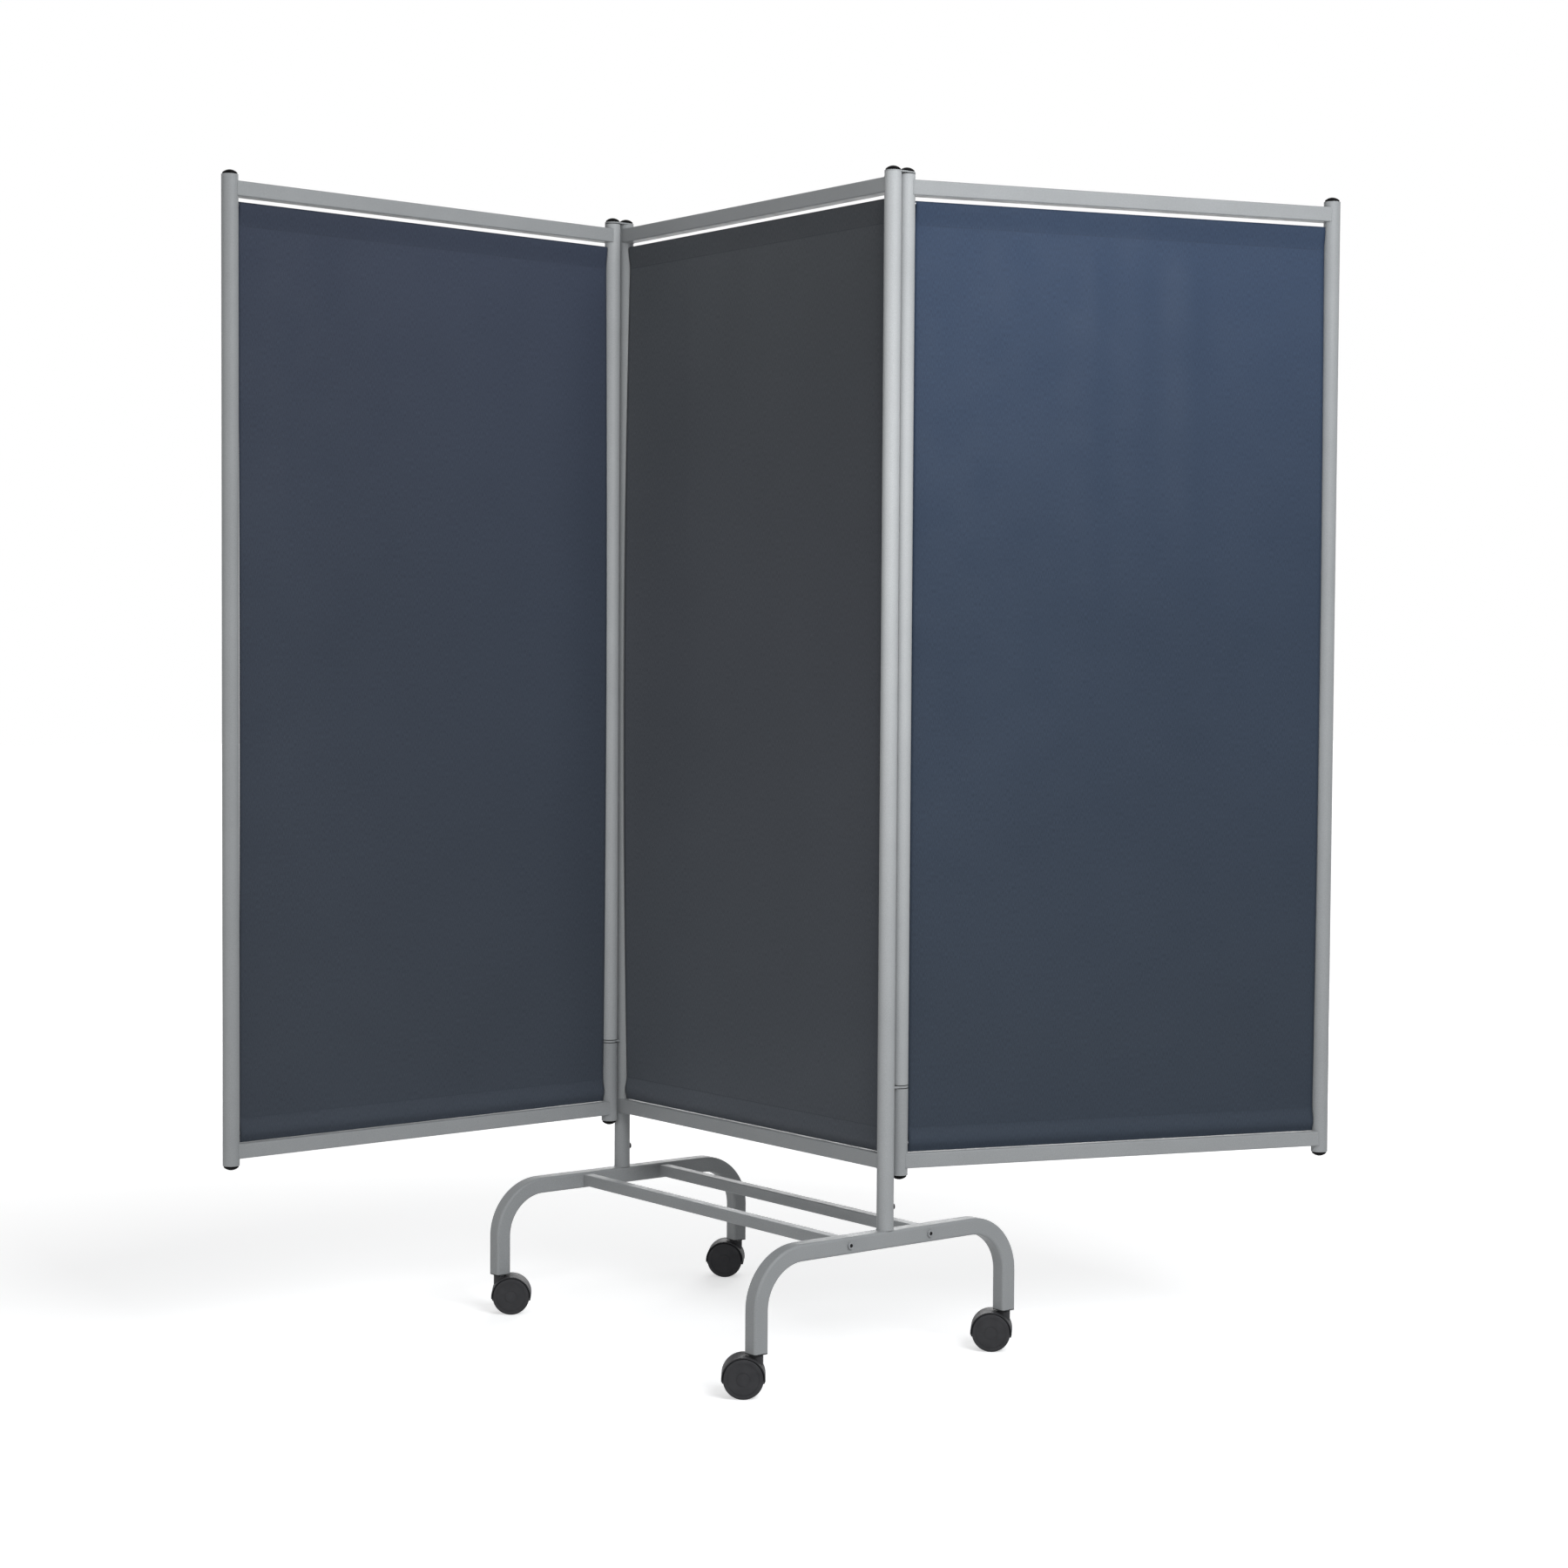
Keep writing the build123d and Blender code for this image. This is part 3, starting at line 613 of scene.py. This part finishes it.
def curtain(name):
    """A panel's cloth: one sheet round both rods, and its stitching."""
    panel = PANELS[name]
    width = panel["span"] - 2 * SIDE_GAP
    place = panel_place(name)
    line = cloth_line()
    folds = folds_of(name, width)
    lengths = [0.0]
    for (n0, z0), (n1, z1) in zip(line, line[1:]):
        lengths.append(lengths[-1] + math.hypot(n1 - n0, z1 - z0))
    form = bmesh.new()
    layer = form.loops.layers.uv.new("UVMap")
    grid = []
    for column in range(CLOTH_COLUMNS + 1):
        x = width * column / CLOTH_COLUMNS
        row = []
        for normal, z in line:
            off = normal * panel["side"] + bulge(name, x, z, width, folds)
            row.append(form.verts.new(place @ Vector((SIDE_GAP + x, off, z))))
        grid.append(row)
    corners = ((0, 0), (1, 0), (1, 1), (0, 1))
    for column in range(CLOTH_COLUMNS):
        for index in range(len(line) - 1):
            face = form.faces.new([grid[column + a][index + b] for a, b in corners])
            for loop, (a, b) in zip(face.loops, corners):
                loop[layer].uv = (width * (column + a) / CLOTH_COLUMNS, lengths[index + b])
    mesh = made_mesh(f"{name}_cloth", form)
    cloth = add_piece(f"{name}_cloth", mesh, CLOTHS[name], panel["body"])
    solid = cloth.modifiers.new("thickness", "SOLIDIFY")
    solid.thickness = CLOTH
    solid.offset = 0
    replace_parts(cloth, f"{name}_curtain")
    thread = stitches(name, width, folds)


def stitches(name, width, folds):
    """The two rows of lockstitch that close a curtain's hems, on both faces."""
    place = panel_place(name)
    form = bmesh.new()
    for z in (TOP_SEAM_Z, FOOT_SEAM_Z):
        for number in range(int((width - 2 * STITCH_PITCH) / STITCH_PITCH)):
            x = STITCH_PITCH + number * STITCH_PITCH
            lift = bulge(name, x + STITCH_LENGTH / 2, z, width, folds)
            for face in (-1, 1):
                off = lift + face * (LAYER + CLOTH / 2)
                rings = []
                for share, size in STITCH_PROFILE:
                    along = SIDE_GAP + x + share * STITCH_LENGTH
                    radius = size * STITCH_RADIUS
                    ring = []
                    for side in range(STITCH_SIDES):
                        angle = math.tau * side / STITCH_SIDES
                        out, up = radius * math.cos(angle), radius * math.sin(angle)
                        ring.append(form.verts.new(place @ Vector((along, off + out, z + up))))
                    rings.append(ring)
                skin(form, rings)
    bmesh.ops.recalc_face_normals(form, faces=form.faces)
    mesh = made_mesh(f"{name}_stitches", form)
    return add_piece(f"{name}_stitches", mesh, THREAD, PANELS[name]["body"])


for name in PANELS:
    curtain(name)


# Hinge lugs
def wide_lugs():
    """The lugs with eyes that almost fill the gaps between the hinge tubes, to let no light by."""
    mesh = frame["nodes"]["hinge_lugs"].data.copy()
    mesh.materials.clear()
    for vertex in mesh.vertices:
        for side in (-1, 1):
            axis = Vector((side * POST_X, side * HINGE_Y, vertex.co.z))
            arm = vertex.co - axis
            if abs(arm.length - LUG_RADIUS) < LUG_SLACK:
                vertex.co = axis + arm.normalized() * EYE_RADIUS
    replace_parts(add_piece("wide_lugs", mesh, COAT, "base"), "hinge_lugs")


wide_lugs()


# Weld beads
def bead(form, points):
    """A run of weld along a line, its width wavering slightly."""
    rings = []
    for index, point in enumerate(points):
        before = points[max(index - 1, 0)]
        after = points[min(index + 1, len(points) - 1)]
        ahead = (after - before).normalized()
        side = ahead.orthogonal().normalized()
        up = ahead.cross(side)
        size = WELD_RADIUS * (1 + WELD_WAVER * math.sin(index * WELD_RIPPLE))
        ring = []
        for step in range(WELD_SIDES):
            angle = math.tau * step / WELD_SIDES
            out = side * math.cos(angle) + up * math.sin(angle)
            ring.append(form.verts.new(point + size * out))
        rings.append(ring)
    skin(form, rings)


def rail_weld(form, place, x, side, z):
    """The weld where a square rail meets a round upright at x, side +1 for a rail towards +x."""
    half = RAIL_HALF - RAIL_WELD_INSET
    corners = [(-half, -half), (half, -half), (half, half), (-half, half)]
    outline = []
    for start, end in zip(corners, corners[1:] + corners[:1]):
        for step in range(RAIL_WELD_STEPS):
            share = step / RAIL_WELD_STEPS
            outline.append([a + (b - a) * share for a, b in zip(start, end)])
    outline.append(outline[0])
    points = []
    for across, up in outline:
        out = math.sqrt(UPRIGHT_RADIUS**2 - across**2)
        points.append(place @ Vector((x + side * out, across, z + up)))
    bead(form, points)


def post_welds(form, side):
    """The welds on both sides of a round post's foot, along its leg's flat top."""
    run = []
    for step in range(POST_WELD_STEPS + 1):
        angle = math.tau * step / POST_WELD_STEPS
        across, out = UPRIGHT_RADIUS * math.cos(angle), UPRIGHT_RADIUS * math.sin(angle)
        if abs(across) <= RAIL_HALF - LEG_WELD_INSET:
            run.append(Vector((side * POST_X + across, out, LEG_TOP_Z)))
        elif run:
            bead(form, run)
            run = []


for name, panel in PANELS.items():
    welds = bmesh.new()
    place = panel_place(name)
    for z in (TOP_RAIL_Z, BOTTOM_RAIL_Z):
        rail_weld(welds, place, 0, 1, z)
        rail_weld(welds, place, panel["span"], -1, z)
    if name == "middle":
        for side in (-1, 1):
            post_welds(welds, side)
    bmesh.ops.recalc_face_normals(welds, faces=welds.faces)
    mesh = made_mesh(f"{name}_welds", welds)
    add_piece(f"{name}_welds", mesh, COAT, panel["body"])


# Camera, floor, world and lamps
def make_camera():
    """The camera at the photograph's place."""
    yaw, pitch, roll = (math.radians(angle) for angle in CAMERA_ANGLES)
    level = Vector((math.cos(yaw), math.sin(yaw), 0))
    ahead = Vector(
        (-math.sin(yaw) * math.cos(pitch), math.cos(yaw) * math.cos(pitch), math.sin(pitch))
    )
    rise = level.cross(ahead)
    right = math.cos(roll) * level + math.sin(roll) * rise
    up = math.cos(roll) * rise - math.sin(roll) * level
    data = bpy.data.cameras.new("camera")
    data.sensor_width = CAMERA_SENSOR
    data.lens = CAMERA_LENS
    camera = bpy.data.objects.new("camera", data)
    bpy.context.scene.collection.objects.link(camera)
    turn = Matrix((right, up, -ahead)).transposed().to_4x4()
    camera.matrix_world = Matrix.Translation(CAMERA_PLACE) @ turn
    bpy.context.scene.camera = camera


def seen_directly(nodes, links):
    """1 for rays from the camera and for mirror and clear rays, 0 for scattered light."""
    path = nodes.new("ShaderNodeLightPath")
    total = path.outputs["Is Camera Ray"]
    for kind in ("Is Glossy Ray", "Is Transmission Ray"):
        larger = nodes.new("ShaderNodeMath")
        larger.operation = "MAXIMUM"
        links.new(total, larger.inputs[0])
        links.new(path.outputs[kind], larger.inputs[1])
        total = larger.outputs[0]
    return total


def make_floor():
    """A matt floor that takes the shadows and, as the camera sees it, grows white outwards."""
    form = bmesh.new()
    bmesh.ops.create_grid(form, x_segments=4, y_segments=4, size=FLOOR_HALF)
    mesh = made_mesh("floor", form)
    floor = bpy.data.objects.new("floor", mesh)
    bpy.context.scene.collection.objects.link(floor)
    material = bpy.data.materials.new("floor")
    material.use_nodes = True
    nodes, links = material.node_tree.nodes, material.node_tree.links
    nodes.clear()
    out = nodes.new("ShaderNodeOutputMaterial")
    matt = nodes.new("ShaderNodeBsdfDiffuse")
    matt.inputs["Color"].default_value = FLOOR_GREY
    place = nodes.new("ShaderNodeTexCoord")
    reach = nodes.new("ShaderNodeVectorMath")
    reach.operation = "LENGTH"
    links.new(place.outputs["Object"], reach.inputs[0])
    fade = nodes.new("ShaderNodeMapRange")
    for end, (distance, strength) in (("Min", GLOW_FROM), ("Max", GLOW_TO)):
        fade.inputs[f"From {end}"].default_value = distance
        fade.inputs[f"To {end}"].default_value = strength
    links.new(reach.outputs["Value"], fade.inputs["Value"])
    both = nodes.new("ShaderNodeMath")
    both.operation = "MULTIPLY"
    links.new(seen_directly(nodes, links), both.inputs[0])
    links.new(fade.outputs["Result"], both.inputs[1])
    glow = nodes.new("ShaderNodeEmission")
    links.new(both.outputs[0], glow.inputs["Strength"])
    total = nodes.new("ShaderNodeAddShader")
    links.new(matt.outputs[0], total.inputs[0])
    links.new(glow.outputs[0], total.inputs[1])
    links.new(total.outputs[0], out.inputs["Surface"])
    mesh.materials.append(material)


def make_world():
    """A white backdrop for the camera and for mirror rays, and a weaker light for the rest."""
    world = bpy.data.worlds.new("world")
    bpy.context.scene.world = world
    world.use_nodes = True
    nodes, links = world.node_tree.nodes, world.node_tree.links
    nodes.clear()
    out = nodes.new("ShaderNodeOutputWorld")
    mix = nodes.new("ShaderNodeMixShader")
    links.new(seen_directly(nodes, links), mix.inputs["Fac"])
    for socket, tint, strength in ((1, SKY_TINT, SKY_STRENGTH), (2, WHITE, 1)):
        light = nodes.new("ShaderNodeBackground")
        light.inputs["Color"].default_value = tint
        light.inputs["Strength"].default_value = strength
        links.new(light.outputs[0], mix.inputs[socket])
    links.new(mix.outputs[0], out.inputs["Surface"])


def make_lamp(name, place, target, size, power, tint):
    """A rectangular lamp that faces its target."""
    data = bpy.data.lights.new(name, "AREA")
    data.shape = "RECTANGLE"
    data.size, data.size_y = size
    data.energy = power
    data.color = tint[:3]
    lamp = bpy.data.objects.new(name, data)
    bpy.context.scene.collection.objects.link(lamp)
    lamp.location = place
    lamp.rotation_euler = (Vector(target) - Vector(place)).to_track_quat("-Z", "Y").to_euler()
    return lamp


def make_hinge_glow():
    """A low, wide strip light that falls only on the upright tubes beside the two hinges."""
    lamp = make_lamp(*HINGE_GLOW)
    lamp.visible_camera = False
    lit = bpy.data.collections.new("hinge_tubes")
    for node in HINGE_TUBES:
        lit.objects.link(frame["nodes"][node])
    lamp.light_linking.receiver_collection = lit


make_camera()
make_floor()
make_world()
for lamp in LAMPS:
    make_lamp(*lamp)
make_hinge_glow()
bpy.context.scene.view_settings.view_transform = "Standard"
